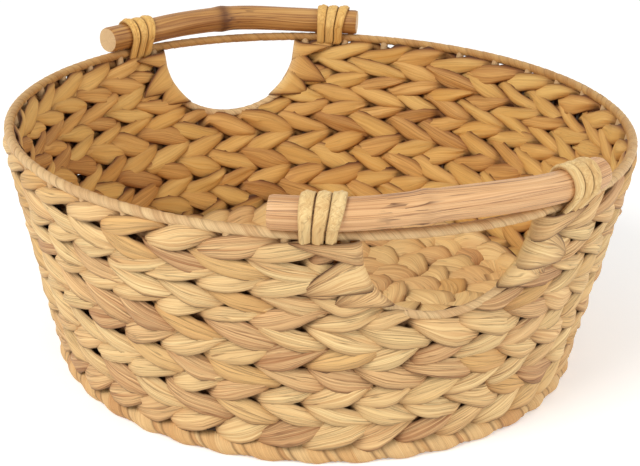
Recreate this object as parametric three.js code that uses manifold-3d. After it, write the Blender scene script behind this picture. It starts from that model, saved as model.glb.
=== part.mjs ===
// Round water hyacinth basket with two hand cut-outs and two cane poles lashed on as handles.
// Millimetres, +Z up. The origin is on the ground under the basket's middle, the front cut-out
// faces -Y and the back one faces +Y, and both poles run along X.

import * as THREE from 'three';
import { mergeVertices } from 'three/addons/utils/BufferGeometryUtils.js';
import Module from 'manifold-3d';

const wasm = await Module();
wasm.setup();

// Points nearer than this are one point.
const SAME_POINT = 1e-4;

// Gap left between two pieces that touch.
const TOUCH_GAP = 0.3;

// Wall, measured to the middle of its wires, which stand in one cone from foot to rim.
const RIM_RADIUS = 218.5;
const RIM_HEIGHT = 171;
const FOOT_RADIUS = 184;

// Foot ring: a bundle of stalks, flattened where it stands.
const FOOT_RING_DIAMETER = 13.6;
const FOOT_FLAT_DEPTH = 0.5;
const FOOT_RING_SIDES = 10;

// Welded wire frame.
const HOOP_WIRE_DIAMETER = 4;
const UPRIGHT_WIRE_DIAMETER = 3;
const UPRIGHT_COUNT = 40;
const SETTLING_PASSES = 6;
const WIRE_SIDES = 5;

// Strip wound round the rim wire and round the lower edge of each cut-out.
const RIM_WRAP_DIAMETER = 7;
const CUTOUT_WRAP_DIAMETER = 6;
const WRAP_STEPS = 6;
const WRAP_BORE_STEPS = 5;

// Each hand cut-out is half an ellipse hanging from the rim, measured to its wire.
const CUTOUT_WIDTH = 132;
const CUTOUT_DEPTH = 61.5;
const CUTOUT_STEPS = 20;

// Twined courses. The upper ones stop at the cut-outs, the lower ones run all round.
const UPPER_COURSES = 5;
const FOLDED_COURSES = 3;
const LOWER_COURSES = 6;
const RIM_SLOT = 3.2;
const STRAND_THICKNESS = 4;
const STRAND_SHOULDER = 0.3;
const FOLD_STEPS = 4;
const COURSE_END_STEPS = 3;
const COURSE_END_CLEARANCE = 0.8;

// Floor: spokes on a small hub hoop, with rings of woven stalks above and below them. The rings
// are thick in the middle and thin at the seams between them.
const SPOKE_COUNT = 12;
const HUB_RADIUS = 32;
const FLOOR_RING_COUNT = 6;
const FLOOR_STRAND_THICKNESS = 4.2;
const FLOOR_SEAM_THICKNESS = 0.8;
const FLOOR_SIDES = UPRIGHT_COUNT / 2;

// Handle poles, bent to the rim's curve and arched a little between their lashings.
const POLE_DIAMETER = 20;
const POLE_LENGTH = 225;
const POLE_OUTSET = 2;
const POLE_ARCH = 3.7;
const POLE_STEPS = 25;
const POLE_SIDES = 10;
const NODE_SWELL = 0.9;
const NODE_HALF_WIDTH = 5;
const FRONT_NODE_PLACE = -24;
const BACK_NODE_PLACE = 4;

// Lashings: flat cord wound three times round pole and rim, just beyond an upright.
const LASHING_WIDTH = 6;
const LASHING_THICKNESS = 2.2;
const LASHING_TURNS = 3;
const LASHING_TURN_GAP = 0.7;
const LASHING_STEPS_PER_TURN = 24;
const LASHING_SIDES = 6;
const LASHING_UPRIGHT = 2;
const LASHING_CLEARANCE = 0.6;
const BACK_RIGHT_LASHING_SHIFT = 6;

// Sizes worked out from the ones above.
const uprightPitch = (2 * Math.PI) / UPRIGHT_COUNT;
const uprightRadius = UPRIGHT_WIRE_DIAMETER / 2;
const hoopWireRadius = HOOP_WIRE_DIAMETER / 2;
const rimWrapRadius = RIM_WRAP_DIAMETER / 2;
const cutoutWrapRadius = CUTOUT_WRAP_DIAMETER / 2;
const poleRadius = POLE_DIAMETER / 2;
const footRingRadius = FOOT_RING_DIAMETER / 2;
const footRingHeight = footRingRadius - FOOT_FLAT_DEPTH;
const channel = uprightRadius + TOUCH_GAP;
const wallSlope = (RIM_RADIUS - FOOT_RADIUS) / (RIM_HEIGHT - footRingHeight);
const bottomHoopHeight = footRingHeight + footRingRadius + TOUCH_GAP + hoopWireRadius;
const cutoutHalfWidth = CUTOUT_WIDTH / 2;
const cutoutBottom = RIM_HEIGHT - CUTOUT_DEPTH;
const upperTop = RIM_HEIGHT - rimWrapRadius - RIM_SLOT;
const lowerTop = cutoutBottom - cutoutWrapRadius - TOUCH_GAP;
const lowerBottom = bottomHoopHeight + hoopWireRadius + TOUCH_GAP;
const upperPitch = (upperTop - lowerTop) / UPPER_COURSES;
const lowerPitch = (lowerTop - lowerBottom) / LOWER_COURSES;

// Materials.
function finish(name, color, roughness, metalness = 0) {
  return new THREE.MeshStandardMaterial({ name, color, roughness, metalness });
}
const darkWire = finish('dark_wire', 0x3a3430, 0.55, 0.8);
const hyacinth = finish('water_hyacinth', 0xdcb77c, 0.8);
const hyacinthStrip = finish('hyacinth_strip', 0xe1be8c, 0.75);
const cane = finish('cane', 0xc9955f, 0.6);
const cord = finish('flat_cord', 0xebcd91, 0.75);

// Radius of the wires' cone at a height.
function wallRadius(z) {
  return FOOT_RADIUS + wallSlope * (z - footRingHeight);
}

// Point at an angle from the front, counted towards +X, at a height, `out` from the cone.
function wallPoint(angle, z, out = 0) {
  const radius = wallRadius(z) + out;
  return new THREE.Vector3(radius * Math.sin(angle), -radius * Math.cos(angle), z);
}

// Angle from the front of a point `x` to the side of the middle of the cut-out.
function wallAngle(x, z) {
  return Math.asin(x / wallRadius(z));
}

// Half the cut-out's width at a height, for an ellipse larger all round by `extra`.
function cutoutHalfWidthAt(z, extra = 0) {
  const fall = Math.min((RIM_HEIGHT - z) / (CUTOUT_DEPTH + extra), 1);
  return (cutoutHalfWidth + extra) * Math.sqrt(1 - fall * fall);
}

// Height of the cut-out's wire `x` to the side of its middle, or the rim's beyond it.
function cutoutHeightAt(x) {
  const share = Math.min(Math.abs(x) / cutoutHalfWidth, 1);
  return RIM_HEIGHT - CUTOUT_DEPTH * Math.sqrt(1 - share * share);
}

// Leaves only positions and joins shared points.
function bare(geometry) {
  geometry.deleteAttribute('normal');
  geometry.deleteAttribute('uv');
  return mergeVertices(geometry, SAME_POINT);
}

// Turns a closed geometry's faces outwards if they face in.
function facingOut(geometry) {
  const closed = bare(geometry);
  const place = closed.getAttribute('position');
  const index = closed.getIndex();
  const corners = [new THREE.Vector3(), new THREE.Vector3(), new THREE.Vector3()];
  let volume = 0;
  for (let i = 0; i < index.count; i += 3) {
    corners.forEach((corner, j) => corner.fromBufferAttribute(place, index.getX(i + j)));
    volume += corners[0].dot(corners[1].clone().cross(corners[2]));
  }
  if (volume < 0) {
    for (let i = 0; i < index.count; i += 3) {
      const second = index.getX(i + 1);
      index.setX(i + 1, index.getX(i + 2));
      index.setX(i + 2, second);
    }
  }
  return closed;
}

// Body over equal rings of points: a loop, or capped at both ends by the flat section's faces.
function skin(rings, section = null) {
  const sides = rings[0].length;
  const index = [];
  const spans = section ? rings.length - 1 : rings.length;
  for (let i = 0; i < spans; i += 1) {
    const here = i * sides;
    const next = ((i + 1) % rings.length) * sides;
    for (let j = 0; j < sides; j += 1) {
      const k = (j + 1) % sides;
      index.push(here + j, next + j, next + k);
      index.push(here + j, next + k, here + k);
    }
  }
  if (section) {
    const last = (rings.length - 1) * sides;
    THREE.ShapeUtils.triangulateShape(section, []).forEach(([a, b, c]) => {
      index.push(a, b, c);
      index.push(last + a, last + c, last + b);
    });
  }
  const geometry = new THREE.BufferGeometry();
  const points = rings.flat().flatMap((point) => point.toArray());
  geometry.setAttribute('position', new THREE.Float32BufferAttribute(points, 3));
  geometry.setIndex(index);
  return facingOut(geometry);
}

// Body of revolution about Z of a profile given as points of radius and height.
function turned(profile, sides) {
  const points = profile.map(([radius, z]) => new THREE.Vector2(radius, z));
  return facingOut(new THREE.LatheGeometry(points, sides).rotateX(Math.PI / 2));
}

// Ring about Z of a section given as points of radius and height.
function ring(section, sides = UPRIGHT_COUNT) {
  return turned([...section, section[0]], sides);
}

// Round section as points of width and height.
function circle(radius, sides) {
  return Array.from({ length: sides }, (_, i) => {
    const angle = (2 * Math.PI * i) / sides;
    return [radius * Math.cos(angle), radius * Math.sin(angle)];
  });
}

// Wrap's section: a thick C round a wire, with a mouth that faces the angle `mouth`.
function wrapSection(radius, bore, mouth) {
  const outerEdge = Math.asin(channel / radius);
  const innerEdge = Math.asin(Math.min(channel / bore, 1));
  const outside = Array.from({ length: WRAP_STEPS + 1 }, (_, i) => {
    const angle = mouth + outerEdge + ((2 * Math.PI - 2 * outerEdge) * i) / WRAP_STEPS;
    return [radius * Math.cos(angle), radius * Math.sin(angle)];
  });
  const inside = Array.from({ length: WRAP_BORE_STEPS + 1 }, (_, i) => {
    const angle = mouth - innerEdge - ((2 * Math.PI - 2 * innerEdge) * i) / WRAP_BORE_STEPS;
    return [bore * Math.cos(angle), bore * Math.sin(angle)];
  });
  return [...outside, ...inside];
}

// Straight wire between two points.
function wire(start, end, radius) {
  const along = end.clone().sub(start);
  const rod = new THREE.CylinderGeometry(radius, radius, along.length(), WIRE_SIDES);
  const up = new THREE.Vector3(0, 1, 0);
  const turn = new THREE.Quaternion().setFromUnitVectors(up, along.clone().normalize());
  rod.applyQuaternion(turn);
  const middle = start.clone().add(end).multiplyScalar(0.5);
  return facingOut(rod.translate(middle.x, middle.y, middle.z));
}

// Wire hoop about Z.
function hoop(radius, z, wireRadius, sides = UPRIGHT_COUNT) {
  return ring(circle(wireRadius, WIRE_SIDES).map(([x, y]) => [radius + x, z + y]), sides);
}

// Geometry as a solid for joining.
function solid(geometry) {
  const closed = bare(geometry);
  const vertProperties = new Float32Array(closed.getAttribute('position').array);
  const triVerts = new Uint32Array(closed.getIndex().array);
  return new wasm.Manifold(new wasm.Mesh({ numProp: 3, vertProperties, triVerts }));
}

// Joins closed geometries into one.
function joined(geometries) {
  const mesh = geometries.map(solid).reduce((all, next) => all.add(next)).getMesh();
  const geometry = new THREE.BufferGeometry();
  geometry.setAttribute('position', new THREE.BufferAttribute(mesh.vertProperties, 3));
  geometry.setIndex(new THREE.BufferAttribute(mesh.triVerts, 1));
  return geometry;
}

const basket = new THREE.Group();
basket.name = 'water_hyacinth_basket';

// Names a piece and puts it in the basket, turned half round Z where it is a back or left copy.
function place(name, geometry, material, halfTurn = false) {
  const mesh = new THREE.Mesh(geometry, material);
  mesh.name = name;
  mesh.rotation.z = halfTurn ? Math.PI : 0;
  basket.add(mesh);
}

// Points of the front cut-out's wire, between two shares of the half ellipse.
function cutoutPath(first, last, steps) {
  return Array.from({ length: steps + 1 }, (_, i) => {
    const angle = Math.PI * (first + ((last - first) * i) / steps);
    const x = -cutoutHalfWidth * Math.cos(angle);
    const z = RIM_HEIGHT - CUTOUT_DEPTH * Math.sin(angle);
    return wallPoint(wallAngle(x, z), z);
  });
}

// Height at which the upright at an angle ends: on a cut-out's wire or on the rim's.
function uprightTop(angle) {
  let z = RIM_HEIGHT;
  for (let pass = 0; pass < SETTLING_PASSES; pass += 1) {
    z = cutoutHeightAt(wallRadius(z) * Math.sin(angle));
  }
  return z;
}

// Wire frame: rim hoop, bottom hoop, uprights and the two cut-out wires, welded together.
function wireFrame() {
  const wires = [
    hoop(RIM_RADIUS, RIM_HEIGHT, hoopWireRadius),
    hoop(wallRadius(bottomHoopHeight), bottomHoopHeight, hoopWireRadius),
  ];
  for (let i = 0; i < UPRIGHT_COUNT; i += 1) {
    const angle = i * uprightPitch;
    const foot = wallPoint(angle, bottomHoopHeight);
    wires.push(wire(foot, wallPoint(angle, uprightTop(angle)), uprightRadius));
  }
  const outline = circle(uprightRadius, WIRE_SIDES).map(([x, y]) => new THREE.Vector2(x, y));
  const front = new THREE.ExtrudeGeometry(new THREE.Shape(outline), {
    steps: CUTOUT_STEPS,
    bevelEnabled: false,
    extrudePath: new THREE.CatmullRomCurve3(cutoutPath(0, 1, CUTOUT_STEPS)),
  });
  wires.push(facingOut(front));
  wires.push(front.clone().rotateZ(Math.PI));
  return joined(wires);
}
place('wire_frame', wireFrame(), darkWire);

// Floor frame: spokes from a hub hoop to just inside the bottom hoop.
function floorFrame() {
  const reach = wallRadius(bottomHoopHeight) - hoopWireRadius - TOUCH_GAP;
  const wires = [hoop(HUB_RADIUS, bottomHoopHeight, uprightRadius, SPOKE_COUNT)];
  for (let i = 0; i < SPOKE_COUNT; i += 1) {
    const angle = (2 * Math.PI * i) / SPOKE_COUNT;
    const out = new THREE.Vector3(Math.sin(angle), -Math.cos(angle), 0);
    const start = out.clone().multiplyScalar(HUB_RADIUS).setZ(bottomHoopHeight);
    const end = out.clone().multiplyScalar(reach).setZ(bottomHoopHeight);
    wires.push(wire(start, end, uprightRadius));
  }
  return joined(wires);
}
place('floor_frame', floorFrame(), darkWire);

// Foot ring.
function footRing() {
  const round = circle(footRingRadius, FOOT_RING_SIDES);
  return ring(round.map(([x, y]) => [FOOT_RADIUS + x, Math.max(footRingHeight + y, 0)]));
}
place('foot_ring', footRing(), hyacinthStrip);

// Rim wrap, with its mouth down the wall where the uprights come in.
function rimWrap() {
  const mouth = Math.atan2(-1, -wallSlope);
  const section = wrapSection(rimWrapRadius, hoopWireRadius + TOUCH_GAP, mouth);
  return ring(section.map(([x, y]) => [RIM_RADIUS + x, RIM_HEIGHT + y]));
}
place('rim_wrap', rimWrap(), hyacinthStrip);

// Top and bottom of a course, counted from the rim.
function courseSpan(number) {
  const upper = number <= UPPER_COURSES;
  const top = upper
    ? upperTop - (number - 1) * upperPitch
    : lowerTop - (number - 1 - UPPER_COURSES) * lowerPitch;
  return { top, bottom: top - (upper ? upperPitch : lowerPitch) + TOUCH_GAP };
}

// Section of one side of a course, as offset from the wires and height.
function strandSection({ top, bottom }) {
  const shoulder = STRAND_SHOULDER * (top - bottom);
  const face = channel + STRAND_THICKNESS;
  return [[channel, bottom], [face, bottom + shoulder], [face, top - shoulder], [channel, top]];
}

// Cut-out wrap: covers the wire below the folded courses, with its mouth away from the hand.
function cutoutWrap() {
  const highest = courseSpan(FOLDED_COURSES).bottom - cutoutWrapRadius - TOUCH_GAP;
  const end = Math.asin((RIM_HEIGHT - highest) / CUTOUT_DEPTH) / Math.PI;
  const path = new THREE.CatmullRomCurve3(cutoutPath(end, 1 - end, CUTOUT_STEPS));
  const section = wrapSection(cutoutWrapRadius, channel, -Math.PI / 2);
  const tilt = Math.atan(wallSlope);
  const rings = [];
  for (let i = 0; i <= CUTOUT_STEPS / 2; i += 1) {
    const middle = path.getPointAt((2 * i) / CUTOUT_STEPS);
    const along = path.getTangentAt((2 * i) / CUTOUT_STEPS);
    const out = new THREE.Vector3(middle.x, middle.y, 0).setLength(Math.cos(tilt));
    out.setZ(-Math.sin(tilt));
    const up = out.clone().cross(along).normalize();
    rings.push(section.map(([x, y]) => middle.clone().addScaledVector(out, x).addScaledVector(up, y)));
  }
  return skin(rings, section.map(([x, y]) => new THREE.Vector2(x, y)));
}
place('cutout_wrap_front', cutoutWrap(), hyacinthStrip);
place('cutout_wrap_back', cutoutWrap(), hyacinthStrip, true);

// Angles of the uprights beyond the cut-outs on the right side, from front to back.
function sideUprights() {
  const first = Math.ceil(wallAngle(cutoutHalfWidth, RIM_HEIGHT) / uprightPitch);
  const angles = [];
  for (let i = first; i <= UPRIGHT_COUNT / 2 - first; i += 1) {
    angles.push(i * uprightPitch);
  }
  return angles;
}

// Upper course with its strands folded round the cut-out wires: out along the outer face,
// round the back wire, home along the inner face and round the front wire.
function foldedCourse(span) {
  const levels = strandSection(span);
  const run = cutoutHalfWidthAt(span.top) - cutoutHalfWidthAt(span.bottom);
  const slant = Math.hypot(1, run / (span.top - span.bottom));
  const fold = (share, back) => levels.map(([out, z]) => {
    const angle = Math.PI * share;
    const x = cutoutHalfWidthAt(z) - slant * out * Math.sin(angle);
    const turn = wallAngle(x, z);
    return wallPoint(back ? Math.PI - turn : turn, z, out * Math.cos(angle) * (back ? 1 : -1));
  });
  const rings = [];
  sideUprights().forEach((angle) => rings.push(levels.map(([out, z]) => wallPoint(angle, z, out))));
  for (let i = 0; i <= FOLD_STEPS; i += 1) {
    rings.push(fold(i / FOLD_STEPS, true));
  }
  sideUprights().reverse().forEach((angle) => {
    rings.push(levels.map(([out, z]) => wallPoint(angle, z, -out)));
  });
  for (let i = 0; i <= FOLD_STEPS; i += 1) {
    rings.push(fold(i / FOLD_STEPS, false));
  }
  return skin(rings);
}

// One side of an upper course that ends against the cut-out wraps.
function endedCourse(span, side) {
  const levels = strandSection(span);
  const extra = cutoutWrapRadius + COURSE_END_CLEARANCE;
  const uprights = sideUprights();
  const nearEnd = (share, back) => levels.map(([out, z]) => {
    const end = wallAngle(cutoutHalfWidthAt(Math.max(z, cutoutBottom), extra), z);
    const angle = end + (uprights[0] - end) * share;
    return wallPoint(back ? Math.PI - angle : angle, z, side * out);
  });
  const rings = [];
  for (let i = 0; i < COURSE_END_STEPS; i += 1) {
    rings.push(nearEnd(i / COURSE_END_STEPS, false));
  }
  uprights.forEach((angle) => rings.push(levels.map(([out, z]) => wallPoint(angle, z, side * out))));
  for (let i = COURSE_END_STEPS - 1; i >= 0; i -= 1) {
    rings.push(nearEnd(i / COURSE_END_STEPS, true));
  }
  return skin(rings, levels.map(([x, y]) => new THREE.Vector2(x, y)));
}

// One side of a lower course, all round.
function ringCourse(span, side) {
  return ring(strandSection(span).map(([out, z]) => [wallRadius(z) + side * out, z]));
}

for (let number = 1; number <= UPPER_COURSES + LOWER_COURSES; number += 1) {
  const name = `course_${String(number).padStart(2, '0')}`;
  const span = courseSpan(number);
  if (number <= FOLDED_COURSES) {
    place(`${name}_right`, foldedCourse(span), hyacinth);
    place(`${name}_left`, foldedCourse(span), hyacinth, true);
  } else if (number <= UPPER_COURSES) {
    for (const [face, side] of [['outer', 1], ['inner', -1]]) {
      place(`${name}_${face}_right`, endedCourse(span, side), hyacinth);
      place(`${name}_${face}_left`, endedCourse(span, side), hyacinth, true);
    }
  } else {
    place(`${name}_outer`, ringCourse(span, 1), hyacinth);
    place(`${name}_inner`, ringCourse(span, -1), hyacinth);
  }
}

// Floor weave above (side 1) or below (side -1) the spokes: flat against them, with a boss at the
// hub and a ridge for each ring about it on the other face.
function floorWeave(radius, side) {
  const face = bottomHoopHeight + side * channel;
  const crest = face + side * FLOOR_STRAND_THICKNESS;
  const seam = face + side * FLOOR_SEAM_THICKNESS;
  const pitch = radius / FLOOR_RING_COUNT;
  const profile = [[0, face], [radius, face], [radius, seam]];
  for (let i = FLOOR_RING_COUNT - 1; i > 0; i -= 1) {
    profile.push([(i + 1 / 2) * pitch, crest], [i * pitch, seam]);
  }
  return turned([...profile, [0, crest]], FLOOR_SIDES);
}
const wallFace = wallRadius(bottomHoopHeight + channel) - channel - STRAND_THICKNESS;
const footFace = (FOOT_RADIUS - footRingRadius) * Math.cos(uprightPitch / 2);
place('floor_weave_upper', floorWeave(wallFace - TOUCH_GAP, 1), hyacinth);
place('floor_weave_lower', floorWeave(footFace - TOUCH_GAP, -1), hyacinth);

// Lashings: where they stand, as angles from the handle's middle.
const windingPitch = LASHING_WIDTH + LASHING_TURN_GAP;
const lashingSpan = LASHING_TURNS * windingPitch + LASHING_WIDTH;
const lashingPlace = LASHING_UPRIGHT * uprightPitch
  + (uprightRadius + LASHING_CLEARANCE + lashingSpan / 2) / RIM_RADIUS;
const poleSeat = Math.sqrt((rimWrapRadius + TOUCH_GAP + poleRadius) ** 2 - POLE_OUTSET ** 2);

// Middle of the pole at an angle, above the rim wire, as radius and height.
function poleMiddle(angle) {
  const share = Math.min(Math.abs(angle) / lashingPlace, 1);
  const arch = POLE_ARCH * (1 - share * share) ** 2;
  return [RIM_RADIUS + POLE_OUTSET, RIM_HEIGHT + poleSeat + arch];
}

// Handle pole: a bent cane with one swollen node, `nodePlace` from its middle.
function handlePole(nodePlace) {
  const rings = [];
  for (let i = 0; i <= POLE_STEPS; i += 1) {
    const along = POLE_LENGTH * (i / POLE_STEPS - 0.5);
    const angle = along / RIM_RADIUS;
    const [radius, z] = poleMiddle(angle);
    const swell = NODE_SWELL * Math.exp(-(((along - nodePlace) / NODE_HALF_WIDTH) ** 2));
    rings.push(circle(poleRadius + swell, POLE_SIDES).map(([x, y]) => {
      const out = radius + x;
      return new THREE.Vector3(out * Math.sin(angle), -out * Math.cos(angle), z + y);
    }));
  }
  return skin(rings, circle(poleRadius, POLE_SIDES).map(([x, y]) => new THREE.Vector2(x, y)));
}
place('handle_pole_front', handlePole(FRONT_NODE_PLACE), cane);
place('handle_pole_back', handlePole(BACK_NODE_PLACE), cane, true);

// Radius of the rim's middle at an angle: the rim runs straight from upright to upright.
function rimRadiusAt(angle) {
  const half = uprightPitch / 2;
  const offMiddle = (((angle % uprightPitch) + uprightPitch) % uprightPitch) - half;
  return (RIM_RADIUS * Math.cos(half)) / Math.cos(offMiddle);
}

// Point of the cord's middle line for a winding direction: on the pole or under the rim,
// whichever lies further out that way.
function windingPoint(turn, angle) {
  const reach = TOUCH_GAP + LASHING_THICKNESS / 2;
  const [radius, z] = poleMiddle(angle);
  const rounds = [
    [radius, z, poleRadius + reach],
    [rimRadiusAt(angle), RIM_HEIGHT, rimWrapRadius + reach],
  ];
  const side = Math.cos(turn);
  const rise = Math.sin(turn);
  const supports = rounds.map(([r, height, size]) => r * side + height * rise + size);
  const [r, height, size] = supports[0] > supports[1] ? rounds[0] : rounds[1];
  return [r + size * side, height + size * rise];
}

// Lashing: one flat cord wound round pole and rim about an angle from the handle's middle.
function lashing(middleAngle) {
  const steps = LASHING_TURNS * LASHING_STEPS_PER_TURN;
  const section = circle(1, LASHING_SIDES);
  const rings = [];
  for (let i = 0; i <= steps; i += 1) {
    const turn = Math.PI + (2 * Math.PI * i) / LASHING_STEPS_PER_TURN;
    const along = LASHING_TURNS * windingPitch * (i / steps - 0.5);
    const angle = middleAngle + along / RIM_RADIUS;
    const [radius, z] = windingPoint(turn, angle);
    rings.push(section.map(([x, y]) => {
      const slip = (x * LASHING_WIDTH) / 2;
      const proud = (y * LASHING_THICKNESS) / 2;
      const out = radius + proud * Math.cos(turn);
      const at = angle + slip / RIM_RADIUS;
      return new THREE.Vector3(out * Math.sin(at), -out * Math.cos(at), z + proud * Math.sin(turn));
    }));
  }
  return { rings, geometry: skin(rings, section.map(([x, y]) => new THREE.Vector2(x, y))) };
}

// Least gap between points of a winding that lie more than half a turn apart.
function leastSelfGap(rings) {
  let least = Infinity;
  rings.forEach((first, i) => {
    rings.slice(i + LASHING_STEPS_PER_TURN / 2).forEach((second) => {
      first.forEach((a) => second.forEach((b) => {
        least = Math.min(least, a.distanceTo(b));
      }));
    });
  });
  return least;
}

const lashings = [
  ['lashing_front_left', -lashingPlace, false],
  ['lashing_front_right', lashingPlace, false],
  ['lashing_back_left', lashingPlace, true],
  ['lashing_back_right', -lashingPlace - BACK_RIGHT_LASHING_SHIFT / RIM_RADIUS, true],
];
lashings.forEach(([name, angle, back]) => {
  const { rings, geometry } = lashing(angle);
  place(name, geometry, cord, back);
  console.log(`${name}: least gap to itself ${leastSelfGap(rings).toFixed(2)} mm`);
});

export default basket;
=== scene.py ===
import math

import bpy
from mathutils import Matrix, Vector


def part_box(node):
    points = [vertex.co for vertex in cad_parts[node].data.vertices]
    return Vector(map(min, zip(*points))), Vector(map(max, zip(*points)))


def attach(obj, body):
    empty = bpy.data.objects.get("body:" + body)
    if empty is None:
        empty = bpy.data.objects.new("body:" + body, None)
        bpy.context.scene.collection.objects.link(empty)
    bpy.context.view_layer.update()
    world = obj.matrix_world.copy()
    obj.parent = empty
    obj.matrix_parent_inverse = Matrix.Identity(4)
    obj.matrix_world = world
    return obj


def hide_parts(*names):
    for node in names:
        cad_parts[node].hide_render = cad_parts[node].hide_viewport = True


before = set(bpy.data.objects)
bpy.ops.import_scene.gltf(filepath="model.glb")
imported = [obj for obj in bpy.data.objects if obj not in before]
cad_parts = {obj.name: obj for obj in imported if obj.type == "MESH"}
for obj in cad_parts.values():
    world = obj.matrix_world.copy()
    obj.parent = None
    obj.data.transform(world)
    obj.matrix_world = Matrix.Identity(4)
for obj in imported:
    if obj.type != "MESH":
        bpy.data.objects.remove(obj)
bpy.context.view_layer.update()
mm = 0.001

# Camera: stands to the left of the front handle and looks down into the basket, as the photograph was
# taken. Its place, lens and slight roll were fitted to the rim, the foot and the two poles.
CAMERA_TARGET = Vector((0, 0, 72 * mm))
CAMERA_DISTANCE = 1032.3 * mm
CAMERA_AZIMUTH = math.radians(-22.16)
CAMERA_ELEVATION = math.radians(23.28)
CAMERA_ROLL = math.radians(1.66)
CAMERA_SENSOR = 36
CAMERA_LENS = 78.18
CAMERA_SHIFT = (0.0037, 0.0158)

back = Vector((
    math.sin(CAMERA_AZIMUTH) * math.cos(CAMERA_ELEVATION),
    -math.cos(CAMERA_AZIMUTH) * math.cos(CAMERA_ELEVATION),
    math.sin(CAMERA_ELEVATION),
))
level = Vector((math.cos(CAMERA_AZIMUTH), math.sin(CAMERA_AZIMUTH), 0))
upward = back.cross(level)
camera_data = bpy.data.cameras.new("camera")
camera_data.sensor_width = CAMERA_SENSOR
camera_data.lens = CAMERA_LENS
camera_data.shift_x, camera_data.shift_y = CAMERA_SHIFT
camera = bpy.data.objects.new("camera", camera_data)
bpy.context.scene.collection.objects.link(camera)
camera.matrix_world = (
    Matrix.Translation(CAMERA_TARGET + CAMERA_DISTANCE * back)
    @ Matrix((level, upward, back)).transposed().to_4x4()
    @ Matrix.Rotation(CAMERA_ROLL, 4, "Z")
)
bpy.context.scene.camera = camera
bpy.context.scene.view_settings.view_transform = "Standard"

# Floor and light: a plain pale floor under a wide soft lamp from the upper left, a weaker one from the
# right and an even sky, at a level at which a colour renders about as it is written.
FLOOR_SIZE = 12
FLOOR_COLOUR = (248, 247, 245)
FLOOR_ROUGHNESS = 0.9
FLOOR_GLOW = 0.3
SKY_LEVEL = 0.55
BACKDROP_LEVEL = 1
WHITE = (1, 1, 1, 1)
LAMPS = {
    "key_lamp": {"place": (-1.85, -0.92, 2.0), "size": 1.5, "power": 46},
    "side_lamp": {"place": (1.7, -1.6, 0.85), "size": 1.6, "power": 19},
}


def painted(red, green, blue):
    """Colour written as 0 to 255 in each channel, turned into the shares of light for a shader."""
    shares = []
    for channel in (red, green, blue):
        share = channel / 255
        shares.append(share / 12.92 if share <= 0.04045 else ((share + 0.055) / 1.055) ** 2.4)
    return (*shares, 1)


def background_rays(nodes, links):
    """1 for a ray that shows the background: straight from the camera, or by gloss or glass."""
    path = nodes.new("ShaderNodeLightPath")
    rays = path.outputs["Is Camera Ray"]
    for kind in ("Is Glossy Ray", "Is Transmission Ray"):
        either = nodes.new("ShaderNodeMath")
        either.operation = "MAXIMUM"
        links.new(rays, either.inputs[0])
        links.new(path.outputs[kind], either.inputs[1])
        rays = either.outputs[0]
    return rays


floor_mesh = bpy.data.meshes.new("floor")
reach = FLOOR_SIZE / 2
corners = [(-reach, -reach, 0), (reach, -reach, 0), (reach, reach, 0), (-reach, reach, 0)]
floor_mesh.from_pydata(corners, [], [(0, 1, 2, 3)])
floor = bpy.data.objects.new("floor", floor_mesh)
bpy.context.scene.collection.objects.link(floor)
floor_finish = bpy.data.materials.new("pale_floor")
floor_finish.use_nodes = True
nodes = floor_finish.node_tree.nodes
links = floor_finish.node_tree.links
floor_shader = nodes["Principled BSDF"]
floor_shader.inputs["Base Color"].default_value = painted(*FLOOR_COLOUR)
floor_shader.inputs["Roughness"].default_value = FLOOR_ROUGHNESS
floor_shader.inputs["Emission Color"].default_value = WHITE
glow = nodes.new("ShaderNodeMath")
glow.operation = "MULTIPLY"
links.new(background_rays(nodes, links), glow.inputs[0])
glow.inputs[1].default_value = FLOOR_GLOW
links.new(glow.outputs[0], floor_shader.inputs["Emission Strength"])
floor_mesh.materials.append(floor_finish)

sky = bpy.data.worlds.new("sky")
sky.use_nodes = True
nodes = sky.node_tree.nodes
links = sky.node_tree.links
sky_light = nodes["Background"]
sky_light.inputs["Color"].default_value = WHITE
sky_light.inputs["Strength"].default_value = SKY_LEVEL
backdrop = nodes.new("ShaderNodeBackground")
backdrop.inputs["Strength"].default_value = BACKDROP_LEVEL
backdrop.inputs["Color"].default_value = WHITE
mix = nodes.new("ShaderNodeMixShader")
links.new(background_rays(nodes, links), mix.inputs[0])
links.new(sky_light.outputs[0], mix.inputs[1])
links.new(backdrop.outputs[0], mix.inputs[2])
links.new(mix.outputs[0], nodes["World Output"].inputs["Surface"])
bpy.context.scene.world = sky

for name, lamp in LAMPS.items():
    light = bpy.data.lights.new(name, "AREA")
    light.shape = "DISK"
    light.size = lamp["size"]
    light.energy = lamp["power"]
    holder = bpy.data.objects.new(name, light)
    holder.location = lamp["place"]
    holder.rotation_euler = (CAMERA_TARGET - Vector(lamp["place"])).to_track_quat("-Z", "Y").to_euler()
    bpy.context.scene.collection.objects.link(holder)

# Wall: eleven courses of soft dried stalks, each course two strands twined about the forty uprights.
# A strand shows as a broad leaf over every other upright, goes in between two uprights and shows
# inside, and neighbouring courses twine opposite ways, so that their leaves make chevrons.
UPRIGHTS = 40
STEPS_PER_STITCH = 14
STRAND_SIDES = 22
FULL_TURN = 2 * math.pi
WELD_DISTANCE = 0.01 * mm
SHARP_EDGE = math.radians(50)

low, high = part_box("rim_wrap")
rim_height = (low.z + high.z) / 2
rim_wrap_radius = (high.z - low.z) / 2
rim_radius = high.x - rim_wrap_radius
low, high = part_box("foot_ring")
foot_height = high.z / 2
foot_ring_radius = high.z / 2
foot_radius = high.x - foot_ring_radius
wall_slope = (rim_radius - foot_radius) / (rim_height - foot_height)


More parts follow.
